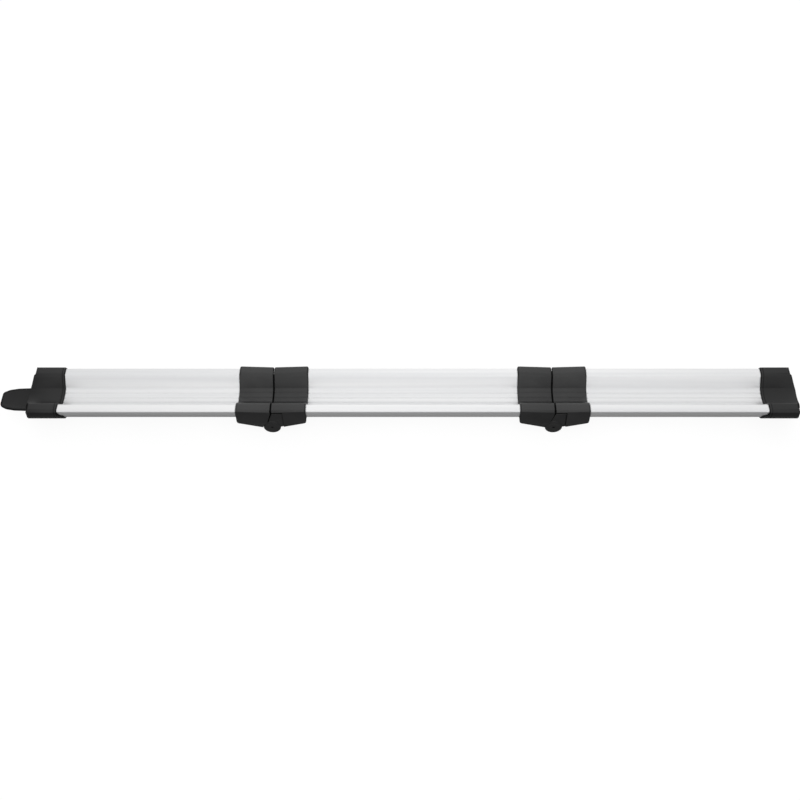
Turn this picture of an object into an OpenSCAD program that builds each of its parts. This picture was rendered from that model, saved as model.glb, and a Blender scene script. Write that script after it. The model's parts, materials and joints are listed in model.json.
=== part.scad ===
// Three-section folding wheel ramp: aluminium channel rails joined by two plastic
// hinges whose pins lie under the rails, with a hook tongue at one end and a foot
// at the other. Millimetres, +Z up, +X along the ramp from hook to foot. The origin
// is on the ground under the middle of the whole length.

/* [Sections] */
// Distance between the two hinge pins
hinge_span = 571; // [480:1:640]
// From the middle of the hinge span to the far end of each outer rail
rail_reach = 753; // [700:1:800]
// How far the tongue's tip lies beyond the rail's end
tongue_reach = 90; // [82:1:96]

/* [Rail] */
// Outside width of the rail
rail_w = 115.5; // [113:0.5:118]
// Height of the rail
rail_h = 36; // [35.5:0.5:37.5]
// Width of the wheel channel between the rims' flat tops
channel_w = 87; // [85:1:89]
// Depth of the wheel channel below the rims, at its middle
channel_d = 28; // [27:0.5:28.5]
// Radius of the rail's lower outer corners
rail_corner_r = 28; // [26:1:29]
// Slope of the channel's side walls
wall_slope = 55; // [53:1:57]
// Radius of the channel's round floor
floor_r = 65; // [60:1:70]
// Thickness of the rail's walls
rail_wall = 1.8; // [1.5:0.1:2]

/* [Plastic mouldings] */
// Thickness of the plastic skin over the rail
skin = 3; // [2.5:0.5:3]
// Length of one hinge half from the pin to its open end
half_len = 70.5; // [68:0.5:75]
// From the pin to the wall that the rail's end butts against
rail_stop = 30; // [28:1:32]
// Length of each end cap's skirt over the rail's rims
cap_skirt = 39; // [36:1:42]
// From the rail's end to the end of the cap's rims
cap_nose = 22.5; // [21:0.5:24]
// From the rail's end to the lip at the end of the cap's floor
cap_lip = 33; // [32:1:36]

/* [Hinges] */
// Depth of the pin's axis below the rail's rims
axis_drop = 49.5; // [49:0.5:51]
// Radius of the knuckles round the pin
knuckle_r = 17.5; // [16.5:0.5:17.5]
// Radius of the hinge pin
pin_r = 4.95; // [4.45:0.5:5.95]
// Half the width of the middle knuckle
mid_knuckle_half = 34.4; // [32:0.1:36]

/* [Tongue] */
// Half the width of the tongue at its root
tongue_half = 28.5; // [27.5:0.5:30]
// Thickness of the tongue
tongue_t = 6.5; // [6:0.5:7]

/* [Hidden] */
$fn = 64;
rim_z = knuckle_r + axis_drop;
shift = (tongue_reach - cap_lip) / 2;
hinge_x = hinge_span / 2;

plastic_w = rail_w + 2 * skin;
plastic_half = plastic_w / 2;
cheek_t = 5.5;
cheek_y = plastic_half - cheek_t;
liner_d = channel_d - skin;
hull_bottom = rail_h + skin;
bore_r = pin_r + 0.05;

rim_r = 4;
lip_r = 9;
foot_r = 10;
sky = 30;
deep = 80;
floor_groove_w = 2.6;
floor_groove_pitch = 12;
floor_groove_depth = 0.6;
web_t = 1.5;
web_y = 17;

seam_gap = 0.25;
seam_step = 2.2;
seam_step_depth = 1.5;
crown_seam = 2;
crown_end = 5;
vee_deep = axis_drop - 0.5;
vee_shallow = 35;
half_corner_r = 5;
knuckle_clear = knuckle_r + 1.5;
knuckle_face = plastic_half - 2;
washer_t = 1;
fork_inner = mid_knuckle_half + washer_t + 0.1;
neck_inner = 44;
neck_right = 24;
neck_top = 2.2;
neck_slot = 6;
neck_bend = 32;
neck_lean = 8.4;
neck_gap = 1.5;
pin_cap_r = 9;
pin_cap_t = 3;
pin_half = knuckle_face - pin_cap_t - 0.5;
washer_r = 12;

shank_r = 2;
head_r = 4;
head_h = 2.4;
sink_h = 2.2;
screw_y = 22;
half_screw_x = [41, 59];
rib_t = 3.5;
rib_x = [27.5, 48.5];
cap_screw_u = rail_reach - 18;
tongue_screw_u = rail_reach + 17;
tongue_screw_y = 15;

tongue_top = channel_d + 1;
tongue_root = 4;
tongue_step = 1;
cap_dip = 11;
nose_corner_r = 2;
lip_corner_r = 20;
pad_len = 50;
pad_w = 9;
pad_sunk = 2;
pad_proud = 1.5;
pad_u = [rail_reach + 7, rail_reach + 19];

// Centres of the channel's three arcs: lip, foot and floor
wall_normal = [-sin(wall_slope), cos(wall_slope)];
wall_down = [-cos(wall_slope), -sin(wall_slope)];
lip_at = [channel_w / 2, -lip_r];
floor_at = [0, floor_r - channel_d];
foot_from = lip_at + (lip_r + foot_r) * wall_normal - floor_at;
foot_along = foot_from * wall_down;
foot_run = sqrt(pow(foot_along, 2) - foot_from * foot_from + pow(floor_r - foot_r, 2)) - foot_along;
foot_at = floor_at + foot_from + foot_run * wall_down;
foot_turn = atan2(foot_at[1] - floor_at[1], foot_at[0]);

// Points of a circular arc round p, from angle a0 to a1
function arc(p, r, a0, a1, n = 6) =
    [for (i = [0:n]) p + r * [cos(a0 + (a1 - a0) * i / n), sin(a0 + (a1 - a0) * i / n)]];

// Closes a right-hand outline that starts and ends on the middle line
function mirrored(p) = concat(p, [for (i = [len(p) - 2:-1:1]) [-p[i][0], p[i][1]]]);

// ---- placing ----
// Shapes are drawn with z = 0 at the rail's rims, and x = 0 at the pin or mid-ramp.
module at(x) { translate([x + shift, 0, rim_z]) children(); }
module right_side() { at(0) children(); }
module left_side() { at(0) mirror([1, 0, 0]) children(); }
module both_y() { for (m = [0, 1]) mirror([0, m, 0]) children(); }
module along_x(x0, x1) { translate([x0, 0, 0]) rotate([90, 0, 90]) linear_extrude(x1 - x0) children(); }
module along_y(y0, y1) { translate([0, y1, 0]) rotate([90, 0, 0]) linear_extrude(y1 - y0) children(); }

// ---- cross-sections, y across and z up; g grows the rail's walls on every side ----
// The channel's wall from lip to floor, with its lip raised by rise along the slope
function channel_wall(g, rise = 0) = concat(
    arc(lip_at + [rise / tan(wall_slope), rise], lip_r + g, 90, 90 + wall_slope, 8),
    arc(foot_at, foot_r - g, wall_slope - 90, foot_turn, 5),
    arc(floor_at, floor_r - g, foot_turn, -90, 6)
);

function outer_wall(g) = concat(
    [[0, -rail_h - g]],
    arc([rail_w / 2 - rail_corner_r, rail_corner_r - rail_h], rail_corner_r + g, -90, 0, 10),
    arc([rail_w / 2 - rim_r, -rim_r], rim_r + g, 0, 90, 5)
);

// Everything between the outer and inner surfaces
module section(g) { polygon(mirrored(concat(outer_wall(g), channel_wall(g)))); }

// The outer surface filled straight across between the rims
module filled(g) { polygon(mirrored(concat(outer_wall(g), [[0, g]]))); }

// The space of the channel, open above
module channel(g, rise = 0) {
    wall = channel_wall(g, rise);
    last = len(wall) - 1;
    polygon(mirrored(concat([for (i = [last:-1:0]) wall[i]], [[wall[0][0], sky], [0, sky]])));
}

module floor_grooves(g) {
    for (i = [-1:1]) {
        y = i * floor_groove_pitch;
        z = floor_at[1] - sqrt(pow(floor_r - g, 2) - y * y);
        translate([y - floor_groove_w / 2, z - floor_groove_depth]) square([floor_groove_w, 2]);
    }
}

module liner_space() {
    channel(skin, crown_end - skin);
    floor_grooves(skin);
}

module rail_section() {
    difference() {
        section(0);
        difference() {
            section(-rail_wall);
            for (s = [-1, 1]) translate([s * web_y - web_t / 2, -rail_h]) square([web_t, rail_h]);
        }
        floor_grooves(0);
    }
}

// Upright-sided outline of a hinge half, with rounded shoulders
module block_outline(inset = 0) {
    shoulder_r = rim_r + 1;
    polygon(mirrored(concat(
        [[0, -deep], [plastic_half - inset, -deep]],
        arc([plastic_half - shoulder_r - inset, crown_end - shoulder_r - inset], shoulder_r, 0, 90),
        [[0, crown_end - inset]]
    )));
}

// The space under the rail's skin from y0 to y1, on both sides of the middle
module underside(y0, y1) {
    difference() {
        for (m = [0, 1]) mirror([m, 0]) translate([y0, -deep]) square([y1 - y0, deep - 12]);
        filled(skin);
    }
}

// ---- rails ----
module rail(x0, x1, holes) {
    color("gainsboro") difference() {
        along_x(x0, x1) rail_section();
        for (x = holes) both_y() translate([x, screw_y, -rail_h - 1])
            cylinder(r = shank_r, h = rail_wall + 2);
    }
}

module outer_rail() {
    holes = concat([for (x = half_screw_x) hinge_x + x], [cap_screw_u]);
    rail(hinge_x + rail_stop, rail_reach, holes);
}

module middle_rail() {
    inner = hinge_x - rail_stop;
    at(0) rail(-inner, inner, [for (s = [-1, 1]) for (x = half_screw_x) s * (hinge_x - x)]);
}

// ---- fasteners, pointing up from z = 0 ----
module hex_recess() { translate([0, 0, -0.01]) cylinder(r = 1.5, h = 1.3, $fn = 6); }

module pan_screw(grip) {
    color("dimgray") difference() {
        union() {
            translate([0, 0, 0.8]) cylinder(r = head_r, h = head_h - 0.8);
            cylinder(r1 = head_r - 1, r2 = head_r, h = 0.8);
            translate([0, 0, head_h]) cylinder(r = shank_r, h = grip);
            translate([0, 0, head_h + grip]) cylinder(r1 = shank_r, r2 = 0.8, h = 1.5);
        }
        hex_recess();
    }
}

module sunk_screw(grip) {
    color("dimgray") difference() {
        union() {
            cylinder(r1 = head_r, r2 = shank_r, h = sink_h);
            translate([0, 0, sink_h]) cylinder(r = shank_r, h = grip);
            translate([0, 0, sink_h + grip]) cylinder(r1 = shank_r, r2 = 0.8, h = 1.5);
        }
        hex_recess();
    }
}

module sunk_hole(depth) {
    translate([0, 0, -0.01]) cylinder(r1 = head_r + 0.01, r2 = shank_r, h = sink_h + 0.01);
    cylinder(r = shank_r, h = depth);
}

// ---- hinge halves, drawn outwards from the pin at x = 0 ----
// Depth of the vee-shaped underside at a distance u from the pin
function vee(u) =
    vee_deep - (vee_deep - vee_shallow) * (u - knuckle_r) / (half_len - half_corner_r - knuckle_r);

module half_side() {
    top_r = 4;
    polygon(concat(
        [[seam_gap, -vee_deep], [knuckle_r, -vee_deep]],
        arc([half_len - half_corner_r, half_corner_r - vee_shallow], half_corner_r, -75, 0),
        arc([half_len - top_r, crown_end - top_r], top_r, 0, 90),
        [[seam_gap + 2, crown_seam], [seam_gap, crown_seam - 2]]
    ));
}

module seam_groove() {
    along_x(-1, seam_gap + seam_step) difference() {
        translate([-plastic_w, -deep - 1]) square([2 * plastic_w, deep + sky]);
        block_outline(seam_step_depth);
    }
    along_x(-1, seam_gap + seam_step) channel(skin - seam_step_depth, crown_end - skin);
}

// The sleeve and block that both kinds of half share
module half_blank() {
    difference() {
        union() {
            intersection() {
                along_y(-plastic_half, plastic_half) half_side();
                along_x(0, half_len) block_outline();
            }
            along_x(rib_x[0], half_len) intersection() {
                filled(skin);
                translate([-plastic_half, -deep]) square([plastic_w, deep - 12]);
            }
        }
        along_x(-1, half_len + 1) liner_space();
        along_x(rail_stop, half_len + 1) section(0);
        seam_groove();
        along_x(rib_x[0] + rib_t, rib_x[1]) underside(0, cheek_y);
        along_x(rib_x[1] + rib_t, half_len - rib_t) underside(0, cheek_y);
        for (x = half_screw_x) both_y() translate([x, screw_y, -hull_bottom - 1])
            cylinder(r = shank_r, h = skin + 2);
    }
}

module knuckle(y0, y1, r) { along_y(y0, y1) translate([0, -axis_drop]) circle(r); }

// Side outline of the neck, with its slanted front edge moved out from the pin by dx
module neck_side(dx, top) {
    polygon([[dx, -top], [dx - neck_lean, -neck_bend], [dx - neck_lean, -vee_deep],
             [knuckle_r, -vee_deep], [neck_right, -vee(neck_right)], [neck_right, -top]]);
}

// Half with two outer knuckles, which carries the pin; it lies on the +X side
module fork_half() {
    color([0.1, 0.1, 0.105]) difference() {
        union() {
            difference() {
                half_blank();
                along_x(-1, rib_x[0]) underside(0, fork_inner);
                knuckle(-fork_inner, fork_inner, knuckle_clear);
                both_y() along_y(neck_inner, plastic_half + 1) neck_side(0, neck_top);
            }
            both_y() knuckle(fork_inner, knuckle_face, knuckle_r);
            both_y() along_y(neck_inner, knuckle_face - 0.5) neck_side(neck_gap, neck_top + neck_slot);
        }
        knuckle(-plastic_half, plastic_half, bore_r);
        both_y() knuckle(knuckle_face - pin_cap_t, plastic_half, pin_cap_r);
    }
}

// Half with the middle knuckle; it is mirrored to the -X side
module lug_half() {
    color([0.1, 0.1, 0.105]) difference() {
        union() {
            difference() {
                half_blank();
                along_x(-1, rib_x[0]) underside(mid_knuckle_half, cheek_y);
                both_y() knuckle(mid_knuckle_half, plastic_half + 1, knuckle_clear);
                both_y() along_y(neck_inner - 0.5, plastic_half + 1) mirror([1, 0]) neck_side(0, neck_top);
            }
            knuckle(-mid_knuckle_half, mid_knuckle_half, knuckle_r - 1);
        }
        knuckle(-plastic_half, plastic_half, bore_r);
    }
}

module hinge_pin(x) {
    chamfer = 0.8;
    at(x) color("silver") translate([0, 0, -axis_drop]) rotate([90, 0, 0]) {
        cylinder(r = pin_r, h = 2 * (pin_half - chamfer), center = true);
        for (m = [0, 1]) mirror([0, 0, m]) translate([0, 0, pin_half - chamfer])
            cylinder(r1 = pin_r, r2 = pin_r - chamfer, h = chamfer);
    }
}

module hinge_washers(x) {
    at(x) color("whitesmoke") both_y()
        translate([0, mid_knuckle_half + washer_t + 0.05, -axis_drop]) rotate([90, 0, 0]) difference() {
            cylinder(r = washer_r, h = washer_t);
            translate([0, 0, -1]) cylinder(r = bore_r, h = washer_t + 2);
        }
}

module hinge_pin_caps(x) {
    at(x) color([0.13, 0.13, 0.135]) both_y()
        translate([0, knuckle_face, -axis_drop]) rotate([90, 0, 0]) difference() {
            cylinder(r = pin_cap_r, h = pin_cap_t);
            translate([0, 0, -1]) cylinder(r = 2.5, h = 2);
        }
}

module half_screws() {
    for (x = half_screw_x) both_y() translate([x, screw_y, -hull_bottom - head_h]) pan_screw(6.5);
}

// ---- end caps, drawn outwards from mid-ramp ----
module cap_side() {
    inner = rail_reach - cap_skirt;
    outer = rail_reach + cap_nose;
    top_r = 6;
    under_r = 5;
    polygon(concat(
        [[inner - cap_dip, -hull_bottom - 1]],
        arc([outer - under_r, under_r - hull_bottom], under_r, -90, 0),
        arc([outer - top_r, skin - top_r], top_r, 0, 90),
        [[inner, skin], [inner, -3], [inner - 4, -9], [inner - cap_dip, -16]]
    ));
}

module lip_side() {
    nose = rail_reach + cap_nose;
    tip = rail_reach + cap_lip;
    under_r = 4;
    polygon(concat(
        [[rail_reach + 5, -hull_bottom]],
        arc([tip - under_r, under_r - hull_bottom], under_r, -90, 0),
        [[tip, 2 - liner_d], [nose, 0], [rail_reach + 5, 0]]
    ));
}

// A tall block that ends at u in corners which look round from above
module round_end(u, half, r) {
    root = rail_reach - cap_skirt - cap_dip - 1;
    translate([0, 0, -deep]) linear_extrude(deep + sky)
        polygon(concat([[root, -half]], arc([u - r, r - half], r, -90, 0, 8),
                       arc([u - r, half - r], r, 0, 90, 8), [[root, half]]));
}

module end_cap() {
    skirt_u = rail_reach - cap_skirt - cap_dip;
    color([0.1, 0.1, 0.105]) difference() {
        union() {
            intersection() {
                along_y(-plastic_half, plastic_half) cap_side();
                along_x(skirt_u, rail_reach + cap_nose) filled(skin);
                round_end(rail_reach + cap_nose, plastic_half, nose_corner_r);
            }
            intersection() {
                along_y(-channel_w / 2, channel_w / 2) lip_side();
                along_x(rail_reach, rail_reach + cap_lip) filled(skin);
                round_end(rail_reach + cap_lip, channel_w / 2, lip_corner_r);
            }
        }
        along_x(skirt_u - 1, rail_reach + cap_lip + 1) channel(skin);
        along_x(skirt_u - 1, rail_reach) section(0);
        along_x(skirt_u - 1, rail_reach - cap_skirt) filled(0);
        both_y() translate([cap_screw_u, screw_y, -hull_bottom]) sunk_hole(skin + 1);
    }
}

module tongue_outline(inset) {
    root = rail_reach + cap_lip;
    tip = rail_reach + tongue_reach;
    half = tongue_half - inset;
    hull() {
        translate([root + inset, -half]) square([1, 2 * half]);
        for (s = [-1, 1]) translate([tip - 32, s * 15.5]) circle(12 - inset, $fn = 32);
        for (s = [-1, 1]) translate([tip - 17, s * 12.5]) circle(12 - inset, $fn = 32);
        for (s = [-1, 1]) translate([tip - 8, s * 12]) circle(8 - inset, $fn = 32);
    }
}

// The part of the tongue held inside the cap, a step thinner underneath
module tongue_root_block(length) {
    translate([rail_reach + tongue_root, -tongue_half, tongue_step - tongue_top - tongue_t])
        cube([length, 2 * tongue_half, tongue_t - tongue_step]);
}

module tongue() {
    pan_depth = 1;
    border = 3;
    color([0.12, 0.12, 0.125]) difference() {
        union() {
            tongue_root_block(cap_lip - tongue_root);
            translate([0, 0, -tongue_top - tongue_t]) linear_extrude(tongue_t) tongue_outline(0);
        }
        translate([0, 0, -tongue_top - pan_depth]) linear_extrude(pan_depth + 1) tongue_outline(border);
        both_y() translate([tongue_screw_u, tongue_screw_y, -tongue_top - tongue_t])
            cylinder(r = shank_r, h = tongue_t - 1);
    }
}

module tongue_socket() {
    tongue_root_block(cap_lip);
    both_y() translate([tongue_screw_u, tongue_screw_y, -hull_bottom])
        sunk_hole(hull_bottom - tongue_top - tongue_t + tongue_step);
}

module pad_box(u, grow) {
    translate([u - pad_w / 2, -pad_len / 2, -hull_bottom - pad_proud])
        cube([pad_w, pad_len, pad_sunk + pad_proud + grow]);
}

module foot_pad(u) {
    tread = 1.4;
    difference() {
        pad_box(u, 0);
        for (dx = [-2, 2]) translate([u + dx - tread / 2, -pad_len, -hull_bottom - pad_proud - 1])
            cube([tread, 2 * pad_len, tread + 0.6]);
    }
}

module cap_screws() { both_y() translate([cap_screw_u, screw_y, -hull_bottom]) sunk_screw(6); }

// ---- sub-parts ----
module left_rail() { left_side() outer_rail(); }
module right_rail() { right_side() outer_rail(); }
module hook_end_cap() { left_side() difference() { end_cap(); tongue_socket(); } }
module foot_end_cap() {
    right_side() difference() {
        end_cap();
        for (u = pad_u) pad_box(u, 0);
    }
}
module hook_tongue() { left_side() tongue(); }
module left_hinge_outer_half() { at(-hinge_x) mirror([1, 0, 0]) lug_half(); }
module left_hinge_inner_half() { at(-hinge_x) fork_half(); }
module right_hinge_inner_half() { at(hinge_x) mirror([1, 0, 0]) lug_half(); }
module right_hinge_outer_half() { at(hinge_x) fork_half(); }
module left_hinge_outer_screws() { at(-hinge_x) mirror([1, 0, 0]) half_screws(); }
module left_hinge_inner_screws() { at(-hinge_x) half_screws(); }
module right_hinge_inner_screws() { at(hinge_x) mirror([1, 0, 0]) half_screws(); }
module right_hinge_outer_screws() { at(hinge_x) half_screws(); }
module hook_cap_screws() { left_side() cap_screws(); }
module foot_cap_screws() { right_side() cap_screws(); }
module tongue_screws() {
    left_side() both_y() translate([tongue_screw_u, tongue_screw_y, -hull_bottom]) sunk_screw(5);
}
module foot_pads() { right_side() color([0.16, 0.16, 0.16]) for (u = pad_u) foot_pad(u); }

left_rail();
middle_rail();
right_rail();
hook_end_cap();
foot_end_cap();
hook_tongue();
left_hinge_outer_half();
left_hinge_inner_half();
right_hinge_inner_half();
right_hinge_outer_half();
hinge_pin(-hinge_x);  // left_hinge_pin
hinge_pin(hinge_x);  // right_hinge_pin
hinge_washers(-hinge_x);  // left_hinge_washers
hinge_washers(hinge_x);  // right_hinge_washers
hinge_pin_caps(-hinge_x);  // left_hinge_pin_caps
hinge_pin_caps(hinge_x);  // right_hinge_pin_caps
left_hinge_outer_screws();
left_hinge_inner_screws();
right_hinge_inner_screws();
right_hinge_outer_screws();
hook_cap_screws();
foot_cap_screws();
tongue_screws();
foot_pads();
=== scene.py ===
"""Folding wheel ramp: its looks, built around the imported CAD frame."""
import json
import math

import bmesh
import bpy
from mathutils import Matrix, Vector


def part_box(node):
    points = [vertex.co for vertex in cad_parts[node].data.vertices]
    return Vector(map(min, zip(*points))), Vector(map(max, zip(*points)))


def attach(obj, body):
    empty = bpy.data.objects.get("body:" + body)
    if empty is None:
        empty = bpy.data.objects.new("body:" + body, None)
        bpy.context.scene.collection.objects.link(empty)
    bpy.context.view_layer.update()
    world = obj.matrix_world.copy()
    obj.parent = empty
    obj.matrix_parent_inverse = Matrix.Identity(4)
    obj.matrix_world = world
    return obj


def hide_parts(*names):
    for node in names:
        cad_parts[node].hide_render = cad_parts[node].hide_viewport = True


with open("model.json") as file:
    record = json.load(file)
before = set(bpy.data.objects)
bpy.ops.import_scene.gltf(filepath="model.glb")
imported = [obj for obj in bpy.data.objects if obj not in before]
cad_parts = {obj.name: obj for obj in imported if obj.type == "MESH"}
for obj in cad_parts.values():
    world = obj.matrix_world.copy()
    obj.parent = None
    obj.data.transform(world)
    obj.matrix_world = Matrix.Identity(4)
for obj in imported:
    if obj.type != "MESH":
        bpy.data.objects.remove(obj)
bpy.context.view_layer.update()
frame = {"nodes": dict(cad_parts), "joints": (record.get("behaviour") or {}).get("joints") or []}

# ---- places taken from the frame ----
MM = 0.001
JOINTS = {j["name"]: j for j in frame["joints"]}
LEFT_PIN_X = JOINTS["left_fold"]["pos_m"][0]
RIGHT_PIN_X = JOINTS["right_fold"]["pos_m"][0]
MID_X = (LEFT_PIN_X + RIGHT_PIN_X) / 2
RIM_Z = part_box("middle_rail")[1].z
AXIS_Z = (JOINTS["left_fold"]["pos_m"][2] - RIM_Z) / MM

# ---- sizes in millimetres, with heights counted from the rails' rims ----
RAIL_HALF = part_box("middle_rail")[1].y / MM
RAIL_BOTTOM = (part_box("middle_rail")[0].z - RIM_Z) / MM
PLASTIC_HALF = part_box("left_hinge_inner_half")[1].y / MM
SKIN = PLASTIC_HALF - RAIL_HALF
HULL_BOTTOM = RAIL_BOTTOM - SKIN
HALF_LEN = (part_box("left_hinge_inner_half")[1].x - LEFT_PIN_X) / MM
RAIL_STOP = (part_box("middle_rail")[0].x - LEFT_PIN_X) / MM
RAIL_REACH = (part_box("right_rail")[1].x - MID_X) / MM
CAP_START = (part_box("foot_end_cap")[0].x - MID_X) / MM
CAP_LIP = (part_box("foot_end_cap")[1].x - MID_X) / MM
TONGUE_TIP = (MID_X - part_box("hook_tongue")[0].x) / MM
TONGUE_ROOT = (MID_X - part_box("hook_tongue")[1].x) / MM
TONGUE_TOP = (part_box("hook_tongue")[1].z - RIM_Z) / MM
TONGUE_BOTTOM = (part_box("hook_tongue")[0].z - RIM_Z) / MM
TONGUE_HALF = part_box("hook_tongue")[1].y / MM
KNUCKLE_R = RIM_Z / MM + AXIS_Z
PIN_R = (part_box("left_hinge_pin")[1].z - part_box("left_hinge_pin")[0].z) / MM / 2
KNUCKLE_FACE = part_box("left_hinge_pin_caps")[1].y / MM
CAP_DISC_R = (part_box("left_hinge_pin_caps")[1].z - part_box("left_hinge_pin_caps")[0].z) / MM / 2
WASHER_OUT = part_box("left_hinge_washers")[1].y / MM
WASHER_SPACE = 1.05
RUNNING_FIT = 0.05
MID_KNUCKLE = WASHER_OUT - WASHER_SPACE
FORK_INNER = WASHER_OUT + RUNNING_FIT
KNUCKLE_GAP = 0.5
SEAM_GAP = 0.25
CHEEK_T = 5.5

# The rail's section: flat rims, sloping walls between a lip and a foot, and a round floor
CHANNEL_HALF = 43.5
CHANNEL_DEPTH = 28.0
WALL_SLOPE = 55.0
LIP_R = 9.0
FOOT_R = 10.0
FLOOR_R = 65.0
RIM_R = 4.0
RAIL_CORNER_R = 28.0
RAIL_WALL = 1.8
WEB_Y = 17.0
WEB_HALF = 0.75
WEB_SINK = 0.8
GROOVE_PITCH = 12.0
GROOVE_HALF = 1.3
GROOVE_DEPTH = 0.45
GROOVE_FLANK = 0.4
SKY = 30.0
UNDER = -80.0
OVERCUT = 5.0


# ---- mesh tools ----
def mesh_object(name, verts, faces):
    """A closed mesh from points in the row frame, in metres, with its normals turned outwards."""
    mesh = bpy.data.meshes.new(name)
    mesh.from_pydata(verts, [], faces)
    bm = bmesh.new()
    bm.from_mesh(mesh)
    bmesh.ops.remove_doubles(bm, verts=bm.verts, dist=1e-7)
    bmesh.ops.recalc_face_normals(bm, faces=bm.faces)
    bm.to_mesh(mesh)
    bm.free()
    obj = bpy.data.objects.new(name, mesh)
    bpy.context.scene.collection.objects.link(obj)
    return obj


def placed(x0, side=1):
    """Turns local (u outwards, y, z above the rims), in millimetres, into a point of the row frame."""
    return lambda u, y, z: (x0 + side * u * MM, y * MM, RIM_Z + z * MM)


def loft(name, place, stations):
    """Skins a list of closed loops, each a list of (u, y, z) with the same count, and closes both ends."""
    count = len(stations[0])
    verts = [place(*p) for loop in stations for p in loop]
    faces = []
    for s in range(len(stations) - 1):
        for i in range(count):
            j = (i + 1) % count
            faces.append((s * count + i, s * count + j, (s + 1) * count + j, (s + 1) * count + i))
    faces.append(tuple(range(count)))
    last = (len(stations) - 1) * count
    faces.append(tuple(reversed(range(last, last + count))))
    return mesh_object(name, verts, faces)


def prism_x(name, place, loop, u0, u1):
    """A (y, z) outline carried from u0 to u1."""
    return loft(name, place, [[(u, y, z) for y, z in loop] for u in (u0, u1)])


def prism_y(name, place, outline, y0, y1, round_r=0.0):
    """A (u, z) outline carried from y0 to y1, with its far face's edge rounded."""
    steps = [(y0, 0.0)]
    if round_r:
        steps += [(y1 - round_r * (1 - math.sin(a)), round_r * (1 - math.cos(a)))
                  for a in (0, math.pi / 6, math.pi / 3, math.pi / 2)]
    else:
        steps += [(y1, 0.0)]
    loops = []
    for y, inset in steps:
        loops.append([(u, y, z) for u, z in shrink(outline, inset)])
    return loft(name, place, loops)


SHARPEST_CORNER = 0.3


def shrink(outline, inset):
    """Moves a closed outline's points inwards along their corners' bisectors."""
    if not inset:
        return outline
    n = len(outline)
    following = outline[1:] + outline[:1]
    area = sum(p[0] * q[1] - q[0] * p[1] for p, q in zip(outline, following))
    turn = 1 if area > 0 else -1
    moved = []
    for i in range(n):
        a, b, c = Vector(outline[i - 1]), Vector(outline[i]), Vector(outline[(i + 1) % n])
        d0 = (b - a).normalized()
        d1 = (c - b).normalized()
        n0 = Vector((-d0.y, d0.x)) * turn
        n1 = Vector((-d1.y, d1.x)) * turn
        scale = inset / max(SHARPEST_CORNER, 1 + n0.dot(n1))
        moved.append(tuple(b + (n0 + n1) * scale))
    return moved


def turned(name, place, profile, u, z, sides=72):
    """A closed (radius, y) profile turned about the crossways line through (u, z)."""
    stations = []
    for i in range(sides):
        a = 2 * math.pi * i / sides
        stations.append([(u + r * math.cos(a), y, z + r * math.sin(a)) for r, y in profile])
    count = len(profile)
    verts = [place(*p) for loop in stations for p in loop]
    faces = []
    for s in range(sides):
        t = (s + 1) % sides
        for i in range(count):
            j = (i + 1) % count
            if profile[i][0] == 0 and profile[j][0] == 0:
                continue
            faces.append((s * count + i, s * count + j, t * count + j, t * count + i))
    return mesh_object(name, verts, faces)


def drum(name, place, radius, y0, y1, u, z, edge=0.0, sides=72):
    """A solid cylinder across the ramp with rounded rims."""
    if edge:
        rim = [(radius - edge * (1 - math.cos(a)), edge * (1 - math.sin(a)))
               for a in (math.pi / 2, math.pi / 3, math.pi / 6, 0)]
        low = [(r, y0 + d) for r, d in rim]
        high = [(r, y1 - d) for r, d in reversed(rim)]
        profile = [(0, y0)] + low + high + [(0, y1)]
    else:
        profile = [(0, y0), (radius, y0), (radius, y1), (0, y1)]
    return turned(name, place, profile, u, z, sides)


def combine(obj, other, operation):
    """Applies a solid boolean to obj and throws the other mesh away."""
    mod = obj.modifiers.new("solid", "BOOLEAN")
    mod.operation = operation
    mod.object = other
    mod.solver = "MANIFOLD"
    apply_modifiers(obj)
    bpy.data.objects.remove(other)
    return obj


def apply_modifiers(obj):
    """Bakes an object's modifiers into its mesh."""
    bpy.context.view_layer.update()
    depsgraph = bpy.context.evaluated_depsgraph_get()
    mesh = bpy.data.meshes.new_from_object(obj.evaluated_get(depsgraph))
    obj.modifiers.clear()
    obj.data = mesh
    return obj


def cut(obj, *cutters):
    """Takes each cutter out of obj."""
    for c in cutters:
        combine(obj, c, "DIFFERENCE")
    return obj


def join(obj, *others):
    """Adds each of the others to obj."""
    for o in others:
        combine(obj, o, "UNION")
    return obj


MERGE_DISTANCE = 2e-5
FLAT_ANGLE = 0.6


def smooth(obj, angle=32):
    """Smooth shading with crisp edges where faces meet at more than the angle."""
    obj.data.shade_smooth()
    obj.data.set_sharp_from_angle(angle=math.radians(angle))
    return obj


def soften(obj, width=0.45, segments=2, angle=38):
    """Small rounded edges, as a moulding or a deburred part has."""
    bm = bmesh.new()
    bm.from_mesh(obj.data)
    bmesh.ops.remove_doubles(bm, verts=bm.verts, dist=MERGE_DISTANCE)
    flat = math.radians(FLAT_ANGLE)
    bmesh.ops.dissolve_limit(bm, angle_limit=flat, verts=bm.verts, edges=bm.edges)
    bm.to_mesh(obj.data)
    bm.free()
    mod = obj.modifiers.new("edges", "BEVEL")
    mod.limit_method = "ANGLE"
    mod.angle_limit = math.radians(angle)
    mod.width = width * MM
    mod.segments = segments
    mod.use_clamp_overlap = True
    mod.harden_normals = False
    apply_modifiers(obj)
    return smooth(obj)


# ---- outlines ----
def arc(cy, cz, r, a0, a1, n=6):
    """Points of an arc from angle a0 to a1, in degrees."""
    angles = [math.radians(a0 + (a1 - a0) * i / n) for i in range(n + 1)]
    return [(cy + r * math.cos(a), cz + r * math.sin(a)) for a in angles]


def mirrored(right):
    """Closes a right-hand outline, which starts and ends on the middle line, with its mirror image."""
    return right + [(-y, z) for y, z in reversed(right[1:-1])]


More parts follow.
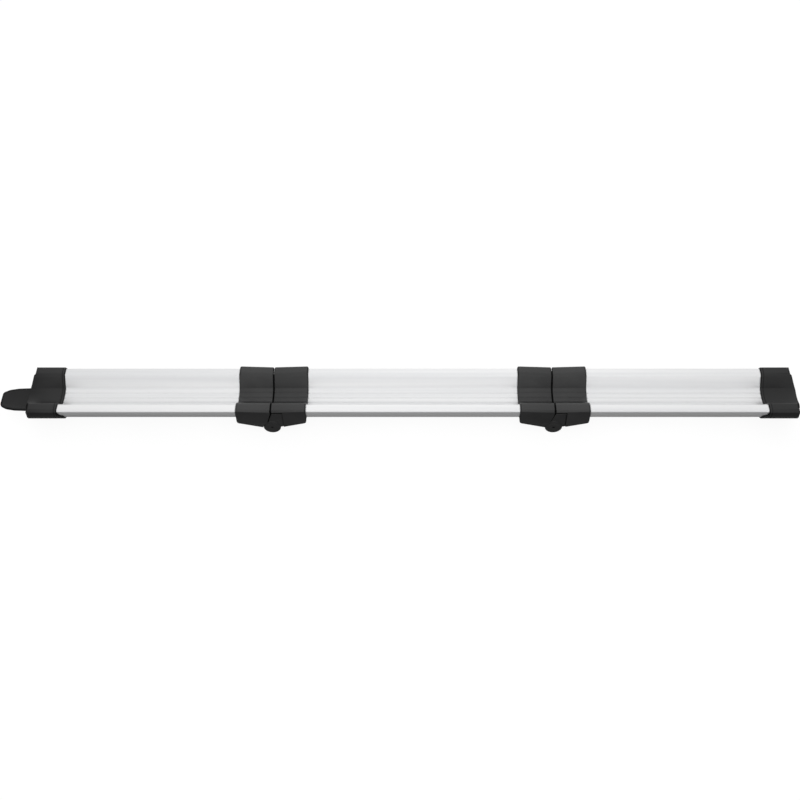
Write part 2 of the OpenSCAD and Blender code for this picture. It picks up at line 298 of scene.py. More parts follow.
def foot_centre():
    """Where the foot's arc is centred, so that it meets both the sloping wall and the round floor."""
    slope = math.radians(WALL_SLOPE)
    normal = Vector((-math.sin(slope), math.cos(slope)))
    down = Vector((-math.cos(slope), -math.sin(slope)))
    floor = Vector((0, FLOOR_R - CHANNEL_DEPTH))
    start = Vector((CHANNEL_HALF, -LIP_R)) + (LIP_R + FOOT_R) * normal - floor
    along = start.dot(down)
    run = math.sqrt(along ** 2 - start.length_squared + (FLOOR_R - FOOT_R) ** 2) - along
    centre = floor + start + run * down
    return centre, math.degrees(math.atan2(centre.y - floor.y, centre.x))


FOOT, FOOT_TURN = foot_centre()


def floor_point(y, grow, deeper=0.0):
    """The point of the round floor at y, which may lie deeper inside a groove."""
    return (y, FLOOR_R - CHANNEL_DEPTH - math.sqrt((FLOOR_R - grow) ** 2 - y * y) - deeper)


BETWEEN_GROOVES = (8.5, 6.0, 3.5, GROOVE_HALF)


def channel_wall(grow, rise=0.0, grooved=True):
    """The channel's right-hand wall from its lip to the middle of its floor."""
    lip_y = CHANNEL_HALF + rise / math.tan(math.radians(WALL_SLOPE))
    wall = arc(lip_y, rise - LIP_R, LIP_R + grow, 90, 90 + WALL_SLOPE, 14)
    wall += arc(FOOT.x, FOOT.y, FOOT_R - grow, WALL_SLOPE - 90, FOOT_TURN, 10)
    depth = GROOVE_DEPTH if grooved else 0.0
    flank = GROOVE_HALF - GROOVE_FLANK
    wall.append(floor_point(GROOVE_PITCH + GROOVE_HALF + 2, grow))
    for y, drop in ((GROOVE_HALF, 0), (flank, depth), (-flank, depth), (-GROOVE_HALF, 0)):
        wall.append(floor_point(GROOVE_PITCH + y, grow, drop))
    wall += [floor_point(y, grow) for y in BETWEEN_GROOVES]
    return wall + [floor_point(flank, grow, depth), floor_point(0, grow, depth)]


def outer_wall(grow):
    """The outside of the rail or skin from the middle of its underside to its rim."""
    centre_y = RAIL_HALF - RAIL_CORNER_R
    wall = [(0, RAIL_BOTTOM - grow)]
    wall += arc(centre_y, RAIL_BOTTOM + RAIL_CORNER_R, RAIL_CORNER_R + grow, -90, 0, 18)
    return wall + arc(RAIL_HALF - RIM_R, -RIM_R, RIM_R + grow, 0, 90, 8)


def section(grow, grooved=False):
    """The closed U between the outer and inner surfaces, its walls grown by grow."""
    return mirrored(outer_wall(grow) + channel_wall(grow, 0, grooved))


def filled(grow):
    """The outer surface filled straight across between the rims."""
    return mirrored(outer_wall(grow) + [(0, grow)])


def channel_space(grow):
    """The open channel, from its wall grown by grow up to well above the rims."""
    wall = channel_wall(grow, 0, False)
    return mirrored(list(reversed(wall)) + [(wall[0][0], SKY), (0, SKY)])


BLOCK_LOW_R = 2.0
SHOULDER_R = RIM_R + 1


def block_section(top, bottom, inset):
    """A hinge half's section: upright cheeks outside and the lined channel inside."""
    half = PLASTIC_HALF - inset
    right = [(0, bottom + inset)]
    right += arc(half - BLOCK_LOW_R, bottom + inset + BLOCK_LOW_R, BLOCK_LOW_R, -90, 0, 5)
    right += arc(half - SHOULDER_R, top - inset - SHOULDER_R, SHOULDER_R, 0, 90, 8)
    return mirrored(right + channel_wall(SKIN - inset, top - SKIN))


HULL_R = RAIL_CORNER_R + SKIN
HULL_Y = PLASTIC_HALF - HULL_R
HULL_Z = HULL_BOTTOM + HULL_R
HULL_TOP_ANGLE = -38


def lower_hull():
    """The skin's round underside, filled up to just below the channel's lining."""
    right = [(0, HULL_BOTTOM)] + arc(HULL_Y, HULL_Z, HULL_R, -90, HULL_TOP_ANGLE, 12)
    return mirrored(right + [(0, right[-1][1])])


# ---- hinge halves ----
CROWN_SEAM = 2.0
CROWN_END = (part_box("left_hinge_inner_half")[1].z - RIM_Z) / MM
VEE_DEEP = AXIS_Z + 0.5
VEE_SHALLOW = -35.0
SEAM_WIDTH = 2.3
SEAM_DEPTH = 3.2
OPEN_R = 1.8
TOP_R = 4.0
CORNER_R = 5.0
RAIL_FIT = 0.15
HULL_INSET = 0.4
RIB_T = 3.5
RIBS = (27.5, 48.5)
QUARTER_TURN = [math.radians(a) for a in (0, 18, 36, 54, 72, 90)]
MIDDLE_STATIONS = (8, KNUCKLE_R, 26, 36, 46, 56, 63)
STATION_GAP = 0.1


def corner_drop(u, r):
    """How far a silhouette's rounded corner falls away near the half's open end."""
    past = u - (HALF_LEN - r)
    return r - math.sqrt(max(r * r - past * past, 0)) if past > 0 else 0.0


def half_top(u):
    """The crown's height, which rises from the seam to the open end."""
    return CROWN_SEAM + (CROWN_END - CROWN_SEAM) * u / HALF_LEN - corner_drop(u, TOP_R)


def half_bottom(u):
    """The vee's height, which rises from the knuckle to the open end."""
    along = min(max((u - KNUCKLE_R) / (HALF_LEN - KNUCKLE_R), 0), 1)
    return VEE_DEEP + (VEE_SHALLOW - VEE_DEEP) * along + corner_drop(u, CORNER_R)


def half_stations():
    """(u, inset) along a half: rounded at the seam and at the open end."""
    seam = [(SEAM_GAP + SEAM_WIDTH * (1 - math.cos(a)), SEAM_DEPTH * (1 - math.sin(a)))
            for a in QUARTER_TURN]
    middle = [(u, 0.0) for u in MIDDLE_STATIONS]
    open_end = [(HALF_LEN - OPEN_R * (1 - math.cos(a)), OPEN_R * (1 - math.sin(a)))
                for a in reversed(QUARTER_TURN)]
    corner = [(HALF_LEN - CORNER_R * (1 - math.sin(a)), 0.0) for a in QUARTER_TURN[:4]]
    corner = [s for s in corner if s[0] < open_end[0][0] - STATION_GAP]
    return seam + middle + corner + open_end


def half_blank(name, place):
    """A hinge half before its knuckle: skin, block, the rail's socket and pockets between the ribs."""
    loops = []
    for u, inset in half_stations():
        loops.append([(u, y, z) for y, z in block_section(half_top(u), half_bottom(u), inset)])
    hull = prism_x("hull", place, lower_hull(), RIBS[0], HALF_LEN - HULL_INSET)
    half = join(loft(name, place, loops), hull)
    cut(half, prism_x("cut", place, section(RAIL_FIT), RAIL_STOP, HALF_LEN + 20))
    cut(half, *under_cutters(place, RIBS[0] + RIB_T, RIBS[1], 0, PLASTIC_HALF - CHEEK_T))
    return cut(half, *under_cutters(place, RIBS[1] + RIB_T, HALF_LEN - RIB_T, 0, PLASTIC_HALF - CHEEK_T))


FAR_BELOW = -90.0


def under_outline(y0, y1):
    """The space under the grown hull from y0 to y1, on the +y side."""
    points = [(y0, FAR_BELOW), (y1, FAR_BELOW)]
    steep = math.degrees(math.acos(min((y1 - HULL_Y) / HULL_R, 1)))
    flat = math.degrees(math.acos((y0 - HULL_Y) / HULL_R)) if y0 > HULL_Y else 90
    points += arc(HULL_Y, HULL_Z, HULL_R, -steep, -flat, 10)
    if y0 < HULL_Y:
        points.append((y0, HULL_BOTTOM))
    return points


def both_sides(points):
    """An outline and its mirror image."""
    return [points, [(-y, z) for y, z in points]]


def under_cutters(place, u0, u1, y0, y1):
    """Clears the space under the hull: one cutter when it starts on the middle line, else one a side."""
    if y0 == 0:
        right = under_outline(0, y1)
        loop = [(0, right[0][1])] + right[1:-1] + [(0, HULL_BOTTOM)]
        return [prism_x("cut", place, mirrored(loop), u0, u1)]
    return [prism_x("cut", place, loop, u0, u1) for loop in both_sides(under_outline(y0, y1))]


NECK_INNER = 44.0
NECK_RIGHT = 24.0
NECK_LEAN = 8.4
NECK_ROOF = -2.2
NECK_TOP = -8.3
NECK_KNEE = -32.0
NECK_EDGE = 0.6
KNUCKLE_EDGE = 1.0
LUG_KNUCKLE_EDGE = 0.6


def to_side(place, s):
    """The same place with y counted towards one side: s is 1 for the far side and -1 for the near."""
    return lambda u, y, z: place(u, s * y, z)


def neck_cut_outline(shift=0.0):
    """The side opening round the neck: leaning front edge, roof under the rim and upright rear edge."""
    return [(shift, NECK_ROOF), (shift - NECK_LEAN, NECK_KNEE), (shift - NECK_LEAN - 6, -70.0),
            (NECK_RIGHT, -70.0), (NECK_RIGHT, NECK_ROOF)]


def neck_outline():
    """The neck from the block down to the knuckle."""
    rear = NECK_RIGHT + 0.5
    front = [(1.6, NECK_TOP), (1.4 - NECK_LEAN * 0.42, -18.0), (1.5 - NECK_LEAN, NECK_KNEE), (-6.0, AXIS_Z)]
    return front + [(KNUCKLE_R, VEE_DEEP), (rear, half_bottom(NECK_RIGHT)), (rear, NECK_TOP)]


def fork_half(name, place):
    """The half whose two outer knuckles and necks show at the ramp's sides."""
    half = half_blank(name, place)
    cut(half, *under_cutters(place, -OVERCUT, RIBS[0], 0, FORK_INNER))
    cut(half, drum("cut", place, KNUCKLE_R + KNUCKLE_GAP, -FORK_INNER, FORK_INNER, 0, AXIS_Z))
    for s in (-1, 1):
        side = to_side(place, s)
        cut(half, prism_y("cut", side, neck_cut_outline(-2), NECK_INNER, PLASTIC_HALF + OVERCUT))
        join(half, drum("knuckle", side, KNUCKLE_R, FORK_INNER, KNUCKLE_FACE, 0, AXIS_Z, KNUCKLE_EDGE))
        join(half, prism_y("neck", side, neck_outline(), NECK_INNER - 1, KNUCKLE_FACE - 0.5, NECK_EDGE))
        cut(half, drum("cut", side, CAP_DISC_R, KNUCKLE_FACE - 3, KNUCKLE_FACE + 2, 0, AXIS_Z))
    return cut(half, pin_bore(place))


def pin_bore(place):
    """A cutter for the pin's bore, right across the ramp."""
    return drum("cut", place, PIN_R + RUNNING_FIT, -PLASTIC_HALF, PLASTIC_HALF, 0, AXIS_Z)


def lug_half(name, place):
    """The half whose middle knuckle turns between the other half's two."""
    half = half_blank(name, place)
    cut(half, *under_cutters(place, -OVERCUT, RIBS[0], MID_KNUCKLE, PLASTIC_HALF - CHEEK_T))
    for s in (-1, 1):
        side = to_side(place, s)
        outside = PLASTIC_HALF + OVERCUT
        cut(half, drum("cut", side, KNUCKLE_R + KNUCKLE_GAP, MID_KNUCKLE, outside, 0, AXIS_Z))
        front = [(-3, NECK_ROOF), (0.0, NECK_ROOF), (NECK_LEAN, NECK_KNEE), (NECK_LEAN, -50.0), (-3, -50.0)]
        cut(half, prism_y("cut", side, front, NECK_INNER - 0.5, outside))
    middle = drum("knuckle", place, KNUCKLE_R - 1, -MID_KNUCKLE, MID_KNUCKLE, 0, AXIS_Z, LUG_KNUCKLE_EDGE)
    join(half, middle)
    return cut(half, pin_bore(place))


# ---- end caps and tongue, drawn outwards from the middle ----
CAP_SKIRT = RAIL_REACH - 39.0
CAP_NOSE = RAIL_REACH + 22.5
NOSE_R = 2.0
NOSE_TOP_R = 6.0
BAND = 4.5
BAND_GROOVE = 1.3
BAND_DEPTH = 0.6
EDGE_ROLL = 2.6
LIP_CORNER_R = 20.0
TONGUE_FIT = 0.3
SCREW_Y = 22.0
CAP_SCREW_U = RAIL_REACH - 18.0
TONGUE_SCREW = (RAIL_REACH + 17.0, 15.0)
HEAD_R = 4.0
HEAD_FIT = 0.15
SINK = 2.2
SHANK_R = 2.05
SHANK_TOP = -28.0
CAP_FIT = 0.1
FOOT_EDGE_R = 5.0
LIP_EDGE_R = 4.0
SKIRT_TOP = -3.0
SKIRT_DROP = 13.0
PAD_PLACES = (7.0, 19.0)
PAD_HALF_U = 4.7
PAD_HALF_Y = 25.2
PAD_SINK = 2.05


def prism_z(name, place, plan, z0, z1):
    """A (u, y) plan carried from z0 to z1."""
    return loft(name, place, [[(u, y, z) for u, y in plan] for z in (z0, z1)])


def box_cutter(place, u0, u1, half, z0, z1):
    """A square-edged cutter, as wide on both sides of the middle line."""
    return prism_z("cut", place, [(u0, -half), (u1, -half), (u1, half), (u0, half)], z0, z1)


def round_end(u, half, r):
    """A block seen from above that ends at u in round corners."""
    plan = [(CAP_START - OVERCUT, -half)] + arc(u - r, r - half, r, -90, 0, 12)
    return plan + arc(u - r, half - r, r, 0, 90, 12) + [(CAP_START - OVERCUT, half)]


def cap_side():
    """A cap from the side: its skirt's edge runs inwards below the rim, and its nose is rounded."""
    dip = CAP_SKIRT - CAP_START
    turns = [math.radians(a) for a in (0, 15, 30, 45, 60, 75, 90)]
    curve = [(CAP_SKIRT - dip * (1 - math.cos(a)), SKIRT_TOP - SKIRT_DROP * math.sin(a)) for a in turns]
    under = arc(CAP_NOSE - FOOT_EDGE_R, HULL_BOTTOM + FOOT_EDGE_R, FOOT_EDGE_R, -90, 0, 6)
    over = arc(CAP_NOSE - NOSE_TOP_R, SKIN - NOSE_TOP_R, NOSE_TOP_R, 0, 90, 8)
    return [(CAP_START, HULL_BOTTOM - 2)] + under + over + [(CAP_SKIRT, SKIN + 1)] + curve


def lip_side():
    """The floor's lip, with gusset walls that slant down to it from the ends of the rims."""
    under = arc(CAP_LIP - LIP_EDGE_R, HULL_BOTTOM + LIP_EDGE_R, LIP_EDGE_R, -90, 0, 6)
    slant = [(CAP_LIP, 5 - CHANNEL_DEPTH), (CAP_LIP - 2, -19), (CAP_NOSE + 2, -1.5), (CAP_NOSE - 1, 0)]
    return [(RAIL_REACH + 5, HULL_BOTTOM)] + under + slant + [(RAIL_REACH + 5, 0)]


def screw_cutter(place, u, y):
    """The countersink and shank of a screw that enters from below."""
    wide = HEAD_R + HEAD_FIT
    rings = [(wide, HULL_BOTTOM - 1), (wide, HULL_BOTTOM)]
    rings += [(SHANK_R, HULL_BOTTOM + SINK), (SHANK_R, SHANK_TOP)]
    turns = [math.radians(a) for a in range(0, 360, 12)]
    circles = [[(u + r * math.cos(a), y + r * math.sin(a), z) for a in turns] for r, z in rings]
    return loft("cut", place, circles)


def shave(place, steps):
    """Takes the skirt's surface down by a depth that changes along it; steps are (u, depth)."""
    steps = [(steps[0][0] - 1, steps[0][1])] + steps + [(steps[-1][0] + 1, steps[-1][1])]
    wide = PLASTIC_HALF + OVERCUT
    around = [(-wide, -60), (wide, -60), (wide, SKY), (-wide, SKY)]
    kept = loft("cut", place, [[(u, y, z) for y, z in filled(SKIN - depth)] for u, depth in steps])
    ring = cut(prism_x("ring", place, around, steps[1][0], steps[-2][0]), kept)
    inside = [[(u, y, z) for y, z in channel_space(SKIN - depth)] for u, depth in steps[1:-1]]
    return [ring, loft("cut", place, inside)]


ROLL_TURNS = [math.radians(a) for a in (0, 20, 40, 60, 75, 88)]


def end_cap(name, place):
    """A cap over a rail's end: sleeve, nose and lip, with a rolled skirt edge, a band and screw holes."""
    cap = prism_x(name, place, filled(SKIN), CAP_START, CAP_NOSE)
    combine(cap, prism_y("side", place, cap_side(), -PLASTIC_HALF - 1, PLASTIC_HALF + 1), "INTERSECT")
    plan = round_end(CAP_NOSE, PLASTIC_HALF, NOSE_R)
    combine(cap, prism_z("plan", place, plan, UNDER, SKY), "INTERSECT")
    lip = prism_x("lip", place, filled(SKIN), RAIL_REACH + 1, CAP_LIP)
    combine(lip, prism_y("side", place, lip_side(), -CHANNEL_HALF, CHANNEL_HALF), "INTERSECT")
    plan = round_end(CAP_LIP, CHANNEL_HALF, LIP_CORNER_R)
    combine(lip, prism_z("plan", place, plan, UNDER, SKY), "INTERSECT")
    join(cap, lip)
    cut(cap, prism_x("cut", place, channel_space(SKIN), CAP_START - OVERCUT, CAP_LIP + OVERCUT))
    roll = [(CAP_SKIRT + EDGE_ROLL * (1 - math.cos(a)), EDGE_ROLL * (1 - math.sin(a))) for a in ROLL_TURNS]
    cut(cap, *shave(place, roll))
    band = CAP_SKIRT + BAND
    cut(cap, *shave(place, [(band, BAND_DEPTH), (band + BAND_GROOVE, BAND_DEPTH)]))
    cut(cap, prism_x("cut", place, section(CAP_FIT), CAP_START - OVERCUT, RAIL_REACH))
    cut(cap, prism_x("cut", place, filled(CAP_FIT), CAP_START - OVERCUT, CAP_SKIRT))
    return cut(cap, *[screw_cutter(place, CAP_SCREW_U, s * SCREW_Y) for s in (-1, 1)])


def hook_cap(name, place):
    """The cap with the tongue's socket."""
    cap = end_cap(name, place)
    low, high = TONGUE_BOTTOM - TONGUE_FIT, TONGUE_TOP + TONGUE_FIT
    cut(cap, box_cutter(place, TONGUE_ROOT - 1, CAP_LIP + OVERCUT, TONGUE_HALF + TONGUE_FIT, low, high))
    u, y = TONGUE_SCREW
    return cut(cap, *[screw_cutter(place, u, s * y) for s in (-1, 1)])


def foot_cap(name, place):
    """The cap with two recesses for the rubber pads."""
    cap = end_cap(name, place)
    for past_rail in PAD_PLACES:
        u = RAIL_REACH + past_rail
        top = HULL_BOTTOM + PAD_SINK
        cut(cap, box_cutter(place, u - PAD_HALF_U, u + PAD_HALF_U, PAD_HALF_Y, HULL_BOTTOM - 1, top))
    return cap


def hull_of(points):
    """The convex outline round a set of points, by sweeping them from left to right and back."""
    def sweep(ordered):
        chain = []
        for p in ordered:
            while len(chain) > 1:
                a, b = chain[-2], chain[-1]
                if (b[0] - a[0]) * (p[1] - a[1]) - (b[1] - a[1]) * (p[0] - a[0]) > 1e-6:
                    break
                chain.pop()
            chain.append(p)
        return chain[:-1]
    ordered = sorted(set(points))
    return sweep(ordered) + sweep(list(reversed(ordered)))


TONGUE_EDGE = 1.2
EDGE_TURNS = [math.radians(a) for a in (0, 30, 60, 90)]
PAN_STEPS = ((0.0, 2.6), (0.3, 3.1), (0.8, 3.4), (1.0, 4.0))


def tongue_plan():
    """The tongue from above: a straight root and a nose drawn round three pairs of circles."""
    circles = [(TONGUE_TIP - 32, 15.5, 12), (TONGUE_TIP - 17, 12.5, 12), (TONGUE_TIP - 8, 12, 8)]
    points = [(TONGUE_ROOT, s * TONGUE_HALF) for s in (-1, 1)]
    points += [(CAP_LIP + 1, s * TONGUE_HALF) for s in (-1, 1)]
    for u, y, r in circles:
        for s in (-1, 1):
            points += [(round(u + dy, 4), round(s * y + dz, 4)) for dy, dz in arc(0, 0, r, 0, 360, 48)]
    return hull_of(points)


def tongue(name, place):
    """A flat tongue with rounded edges and a raised bead round a shallow pan."""
    plan = tongue_plan()
    side = [(TONGUE_EDGE * (1 - math.sin(a)), TONGUE_EDGE * (1 - math.cos(a))) for a in EDGE_TURNS]
    steps = [(TONGUE_BOTTOM + drop, inset) for inset, drop in side]
    steps += [(TONGUE_TOP - drop, inset) for inset, drop in reversed(side)]
    steps += [(TONGUE_TOP - drop, inset) for drop, inset in PAN_STEPS]
    piece = loft(name, place, [[(u, y, z) for u, y in shrink(plan, inset)] for z, inset in steps])
    u, y = TONGUE_SCREW
    for s in (-1, 1):
        cut(piece, screw_cutter(place, u, s * y))
    return smooth(piece, 28)


# ---- rails ----
def rail(name, place, u0, u1):
    """A double-walled extrusion with two upright webs in its hollow."""
    piece = prism_x(name, place, section(0, True), u0, u1)
    cut(piece, prism_x("cut", place, section(-RAIL_WALL), u0 - 1, u1 + 1))
    for s in (-1, 1):
        y = s * WEB_Y
        low, high = RAIL_BOTTOM + WEB_SINK, floor_point(y, 0)[1] - WEB_SINK
        near, far = y - WEB_HALF, y + WEB_HALF
        web = [(near, low), (far, low), (far, high), (near, high)]
        join(piece, prism_x("web", place, web, u0 + 0.01, u1 - 0.01))
    return smooth(piece, 28)


HALVES = {
    "left_hinge_outer_half": (lug_half, LEFT_PIN_X, -1, "left_section"),
    "left_hinge_inner_half": (fork_half, LEFT_PIN_X, 1, "middle_section"),
    "right_hinge_inner_half": (lug_half, RIGHT_PIN_X, -1, "middle_section"),
    "right_hinge_outer_half": (fork_half, RIGHT_PIN_X, 1, "right_section"),
}


# ---- materials ----
def new_material(name):
    """A new material with its nodes, links and main shader."""
    mat = bpy.data.materials.new(name)
    mat.use_nodes = True
    nodes = mat.node_tree.nodes
    return mat, nodes, mat.node_tree.links, nodes["Principled BSDF"]


def stretched_coords(nodes, links, scale):
    """The object's own coordinates, stretched by scale."""
    coords = nodes.new("ShaderNodeTexCoord")
    mapping = nodes.new("ShaderNodeMapping")
    mapping.inputs["Scale"].default_value = scale
    links.new(coords.outputs["Object"], mapping.inputs["Vector"])
    return mapping.outputs["Vector"]


def noise(nodes, links, vector, scale, detail=3.0, rough=0.5):
    """A noise value at the given coordinates."""
    tex = nodes.new("ShaderNodeTexNoise")
    tex.inputs["Scale"].default_value = scale
    tex.inputs["Detail"].default_value = detail
    tex.inputs["Roughness"].default_value = rough
    links.new(vector, tex.inputs["Vector"])
    return tex.outputs["Fac"]


def remap(nodes, links, value, low, high, from_low=0.3, from_high=0.7):
    """Stretches a value from one range to another."""
    node = nodes.new("ShaderNodeMapRange")
    node.inputs["From Min"].default_value = from_low
    node.inputs["From Max"].default_value = from_high
    node.inputs["To Min"].default_value = low
    node.inputs["To Max"].default_value = high
    links.new(value, node.inputs["Value"])
    return node.outputs["Result"]


def mixed(nodes, links, factor, a, b):
    """A colour between a and b."""
    node = nodes.new("ShaderNodeMix")
    node.data_type = "RGBA"
    node.inputs[6].default_value = (*a, 1)
    node.inputs[7].default_value = (*b, 1)
    links.new(factor, node.inputs[0])
    return node.outputs[2]


def bump(nodes, links, height, strength, distance, normal=None):
    """Surface relief from a height, on top of another relief if one is given."""
    node = nodes.new("ShaderNodeBump")
    node.inputs["Strength"].default_value = strength
    node.inputs["Distance"].default_value = distance
    links.new(height, node.inputs["Height"])
    if normal is not None:
        links.new(normal, node.inputs["Normal"])
    return node.outputs["Normal"]


SHADE_REACH = 0.004


def painted_crevice_shade(nodes, links, reach, low, high, closed_at=0.45, open_at=0.9):
    """Goes from low inside narrow gaps and corners to high on open faces: painted shade for where less light
    reaches.
    """
    node = nodes.new("ShaderNodeAmbientOcclusion")
    node.samples = 8
    node.inputs["Distance"].default_value = reach
    return remap(nodes, links, node.outputs["AO"], low, high, closed_at, open_at)


def shaded(nodes, links, colour, factor):
    """The colour, darkened to nothing as the factor falls to 0."""
    node = nodes.new("ShaderNodeMix")
    node.data_type = "RGBA"
    node.inputs[6].default_value = (0.004, 0.004, 0.004, 1)
    links.new(colour, node.inputs[7])
    links.new(factor, node.inputs[0])
    return node.outputs[2]


def anodised_aluminium():
    """Satin metal with fine drawn lines along the rail and shade in its corners."""
    mat, nodes, links, shader = new_material("rail_anodised")
    lines = noise(nodes, links, stretched_coords(nodes, links, (1.5, 900, 900)), 1.0, 4.0, 0.6)
    broad = noise(nodes, links, stretched_coords(nodes, links, (0.8, 60, 60)), 1.0, 2.0)
    grain = noise(nodes, links, stretched_coords(nodes, links, (1, 1, 1)), 2600, 2.0)
    colour = mixed(nodes, links, remap(nodes, links, broad, 0, 1), (0.80, 0.805, 0.815), (0.90, 0.902, 0.905))
    # Painted shade: the base colour darkens in gaps, corners and beside the plastic's edges.
    painted_shade_factor = painted_crevice_shade(nodes, links, SHADE_REACH, 0.0, 1.0, 0.5, 0.82)
    links.new(shaded(nodes, links, colour, painted_shade_factor), shader.inputs["Base Color"])
    links.new(remap(nodes, links, lines, 0.32, 0.44), shader.inputs["Roughness"])
    shader.inputs["Metallic"].default_value = 0.8
    first = bump(nodes, links, lines, 0.10, 0.0002)
    links.new(bump(nodes, links, grain, 0.05, 0.0001, first), shader.inputs["Normal"])
    return mat


def moulded_plastic(name, dark, light, rough=(0.42, 0.58), grain_scale=1400, grain=0.35, gloss=0.5):
    """Grained moulding with a cloudy tone and shade in its gaps."""
    mat, nodes, links, shader = new_material(name)
    plain = stretched_coords(nodes, links, (1, 1, 1))
    cloud = noise(nodes, links, plain, 35, 3.0)
    texture = noise(nodes, links, plain, grain_scale, 2.0, 0.6)
    colour = mixed(nodes, links, remap(nodes, links, cloud, 0, 1), dark, light)
    # Painted shade: the base colour darkens in gaps and corners.
    painted_shade_factor = painted_crevice_shade(nodes, links, SHADE_REACH, 0.0, 1.0)
    links.new(shaded(nodes, links, colour, painted_shade_factor), shader.inputs["Base Color"])
    # Painted shade on the reflection: the shine drops in gaps and corners.
    shine_with_painted_shade = painted_crevice_shade(nodes, links, SHADE_REACH, 0.04 * gloss, gloss)
    links.new(shine_with_painted_shade, shader.inputs["Specular IOR Level"])
    links.new(remap(nodes, links, cloud, rough[0], rough[1]), shader.inputs["Roughness"])
    links.new(bump(nodes, links, texture, grain, 0.0001), shader.inputs["Normal"])
    return mat


def plated_steel(name, dark, light, rough):
    """Plated metal with a fine grain."""
    mat, nodes, links, shader = new_material(name)
    plain = stretched_coords(nodes, links, (1, 1, 1))
    cloud = noise(nodes, links, plain, 160, 3.0)
    fine = noise(nodes, links, plain, 3000, 2.0)
    links.new(mixed(nodes, links, remap(nodes, links, cloud, 0, 1), dark, light), shader.inputs["Base Color"])
    links.new(remap(nodes, links, cloud, rough, rough + 0.14), shader.inputs["Roughness"])
    shader.inputs["Metallic"].default_value = 1.0
    links.new(bump(nodes, links, fine, 0.08, 0.0001), shader.inputs["Normal"])
    return mat


RAIL = anodised_aluminium()
PLASTIC = moulded_plastic("hinge_plastic", (0.008, 0.0081, 0.0084), (0.013, 0.0131, 0.0135),
                          rough=(0.30, 0.42), gloss=0.6)
CAP_PLASTIC = moulded_plastic("cap_plastic", (0.006, 0.0061, 0.0064), (0.010, 0.0101, 0.0105),
                              rough=(0.32, 0.44), gloss=0.4)
TONGUE = moulded_plastic("tongue_plastic", (0.005, 0.0051, 0.0054), (0.009, 0.0091, 0.0095), gloss=0.3)
RUBBER = moulded_plastic("pad_rubber", (0.018, 0.018, 0.018), (0.03, 0.03, 0.03), (0.7, 0.85), 900, 0.5)
NYLON = moulded_plastic("nylon", (0.7, 0.69, 0.65), (0.8, 0.79, 0.75), (0.35, 0.45), 1200, 0.1)
PIN_STEEL = plated_steel("zinc_pin", (0.55, 0.55, 0.57), (0.7, 0.7, 0.71), 0.22)
SCREW_STEEL = plated_steel("black_screw", (0.05, 0.05, 0.052), (0.1, 0.1, 0.104), 0.3)

NODE_MATERIALS = {
    "rail": RAIL, "pin": PIN_STEEL, "washers": NYLON, "pin_caps": PLASTIC, "screws": SCREW_STEEL,
    "half": PLASTIC, "end_cap": CAP_PLASTIC, "tongue": TONGUE, "pads": RUBBER,
}


def dress(obj, material):
    """Gives an object one material."""
    obj.data.materials.clear()
    obj.data.materials.append(material)
    return obj


for node_name, node_obj in frame["nodes"].items():
    for ending, material in NODE_MATERIALS.items():
        if node_name.endswith(ending):
            dress(node_obj, material)


def finish_piece(piece, material, body, node):
    """Dresses a piece, ties it to its body and hides the CAD node that it replaces."""
    dress(piece, material)
    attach(piece, body)
    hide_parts(node)


for half_name, (maker, pin_x, side, body) in HALVES.items():
    moulding = soften(maker(half_name.replace("_half", "_moulding"), placed(pin_x, side)))
    finish_piece(moulding, PLASTIC, body, half_name)

CAPS = {"hook_end_cap": (hook_cap, -1, "left_section"), "foot_end_cap": (foot_cap, 1, "right_section")}
for cap_name, (maker, side, body) in CAPS.items():
    moulding = soften(maker(cap_name + "_moulding", placed(MID_X, side)), 0.6)
    finish_piece(moulding, CAP_PLASTIC, body, cap_name)

tongue_piece = tongue("tongue_moulding", placed(MID_X, -1))
finish_piece(tongue_piece, TONGUE, "left_section", "hook_tongue")

RAILS = {"left_rail": "left_section", "middle_rail": "middle_section", "right_rail": "right_section"}
for rail_name, body in RAILS.items():
    low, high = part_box(rail_name)
    extrusion = rail(rail_name + "_extrusion", placed(low.x), 0, (high.x - low.x) / MM)
    finish_piece(extrusion, RAIL, body, rail_name)


# ---- floor, light and camera ----
FLOOR_HALF = 30
FLOOR_GLOW = 0.94


def build_floor():
    """A wide pale floor that glows evenly, so that no shadow or mirror image falls on it."""
    mesh = bpy.data.meshes.new("floor")
    half = FLOOR_HALF
    corners = [(-half, -half, 0), (half, -half, 0), (half, half, 0), (-half, half, 0)]
    mesh.from_pydata(corners, [], [(0, 1, 2, 3)])
    floor = bpy.data.objects.new("floor", mesh)
    bpy.context.scene.collection.objects.link(floor)
    mat, nodes, links, shader = new_material("pale_floor")
    cloud = noise(nodes, links, stretched_coords(nodes, links, (1, 1, 1)), 3, 2.0)
    tone = mixed(nodes, links, cloud, (0.96, 0.96, 0.96), (1.0, 1.0, 1.0))
    links.new(tone, shader.inputs["Emission Color"])
    shader.inputs["Emission Strength"].default_value = FLOOR_GLOW
    shader.inputs["Base Color"].default_value = (0.12, 0.12, 0.12, 1)
    shader.inputs["Roughness"].default_value = 0.9
    shader.inputs["Specular IOR Level"].default_value = 0.1
    mesh.materials.append(mat)
    floor.visible_glossy = False
    floor.visible_diffuse = False


def aim(obj, target):
    """Turns an object to look at a point."""
    direction = Vector(target) - obj.location
    obj.rotation_euler = direction.to_track_quat("-Z", "Y").to_euler()


def softbox(name, place, target, size, power):
    """A soft rectangular light that leaves no mirror image."""
    data = bpy.data.lights.new(name, "AREA")
    data.shape = "RECTANGLE"
    data.size, data.size_y = size
    data.energy = power
    obj = bpy.data.objects.new(name, data)
    obj.location = place
    obj.visible_glossy = False
    bpy.context.scene.collection.objects.link(obj)
    aim(obj, target)


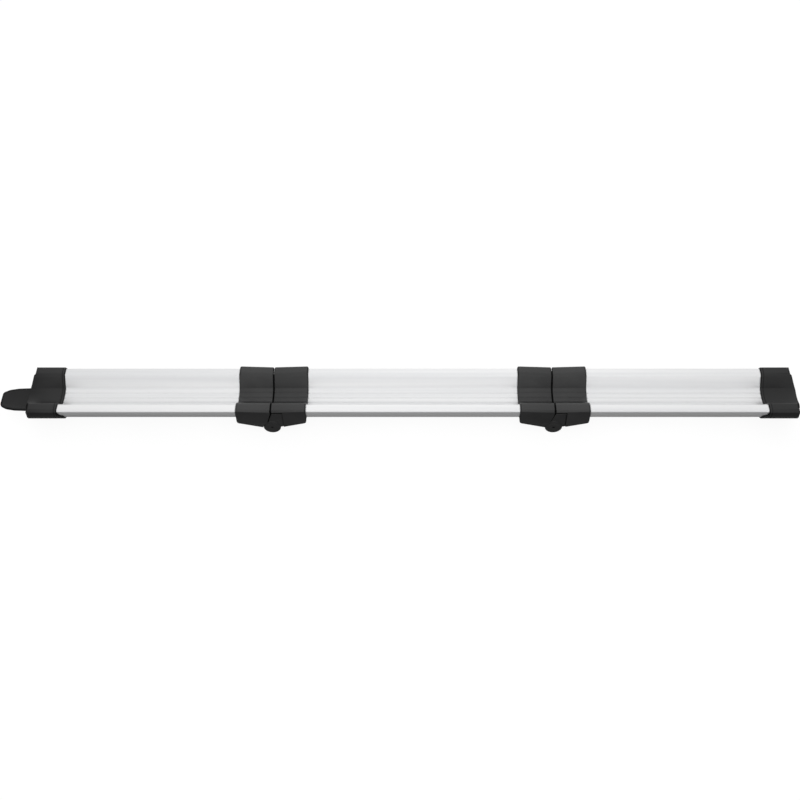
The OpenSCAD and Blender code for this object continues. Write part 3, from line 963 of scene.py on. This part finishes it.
SKY_LEVEL = 1.22
GROUND_LEVEL = 0.26
SIDE_LEVEL = 0.76
END_LEVEL = 0.08
HORIZON = (-0.45, 0.15)
SIDE_FADE = (0.10, 0.20)
END_FADE = (0.42, 0.72)
KEY_PLACE = (-1.3, 2.2)
KEY_SIZE = (2.2, 1.2)
KEY_POWER = 9


def build_light():
    """A studio bright above the horizon, dim below it and darker towards the ramp's ends, with a soft key."""
    softbox("key", (MID_X, *KEY_PLACE), (MID_X, 0, 0), KEY_SIZE, KEY_POWER)
    world = bpy.data.worlds.new("studio")
    world.use_nodes = True
    bpy.context.scene.world = world
    nodes = world.node_tree.nodes
    links = world.node_tree.links
    coords = nodes.new("ShaderNodeTexCoord")
    split = nodes.new("ShaderNodeSeparateXYZ")
    links.new(coords.outputs["Generated"], split.inputs["Vector"])
    rising = remap(nodes, links, split.outputs["Z"], GROUND_LEVEL, SKY_LEVEL, *HORIZON)
    aside = nodes.new("ShaderNodeMath")
    aside.operation = "ABSOLUTE"
    links.new(split.outputs["X"], aside.inputs[0])
    fading = remap(nodes, links, aside.outputs[0], 1.0, SIDE_LEVEL, *SIDE_FADE)
    ends = remap(nodes, links, aside.outputs[0], 1.0, END_LEVEL, *END_FADE)
    level = rising
    for factor in (fading, ends):
        product = nodes.new("ShaderNodeMath")
        product.operation = "MULTIPLY"
        links.new(level, product.inputs[0])
        links.new(factor, product.inputs[1])
        level = product.outputs[0]
    links.new(level, nodes["Background"].inputs["Strength"])
    nodes["Background"].inputs["Color"].default_value = (1.0, 1.0, 1.0, 1)


CAMERA_ELEVATION = math.radians(50)
CAMERA_DISTANCE = 2.41
SENSOR = 36.0
PICTURE_WIDTH = 1.6
MIDDLE_RIGHTWARD = 0.0258
RIM_BELOW_MIDDLE = 0.0226


def build_camera():
    """Square on to the ramp; PICTURE_WIDTH is what the picture spans at the near rim's distance."""
    data = bpy.data.cameras.new("camera")
    data.sensor_width = SENSOR
    data.lens = SENSOR * CAMERA_DISTANCE / PICTURE_WIDTH
    data.shift_x = -MIDDLE_RIGHTWARD / PICTURE_WIDTH
    camera = bpy.data.objects.new("camera", data)
    forward = Vector((0, math.cos(CAMERA_ELEVATION), -math.sin(CAMERA_ELEVATION)))
    up = Vector((0, math.sin(CAMERA_ELEVATION), math.cos(CAMERA_ELEVATION)))
    near_rim = Vector((MID_X, -RAIL_HALF * MM, RIM_Z))
    camera.location = near_rim - forward * CAMERA_DISTANCE + up * RIM_BELOW_MIDDLE
    camera.rotation_euler = forward.to_track_quat("-Z", "Y").to_euler()
    bpy.context.scene.collection.objects.link(camera)
    bpy.context.scene.camera = camera


build_floor()
build_light()
build_camera()
bpy.context.scene.view_settings.view_transform = "Standard"
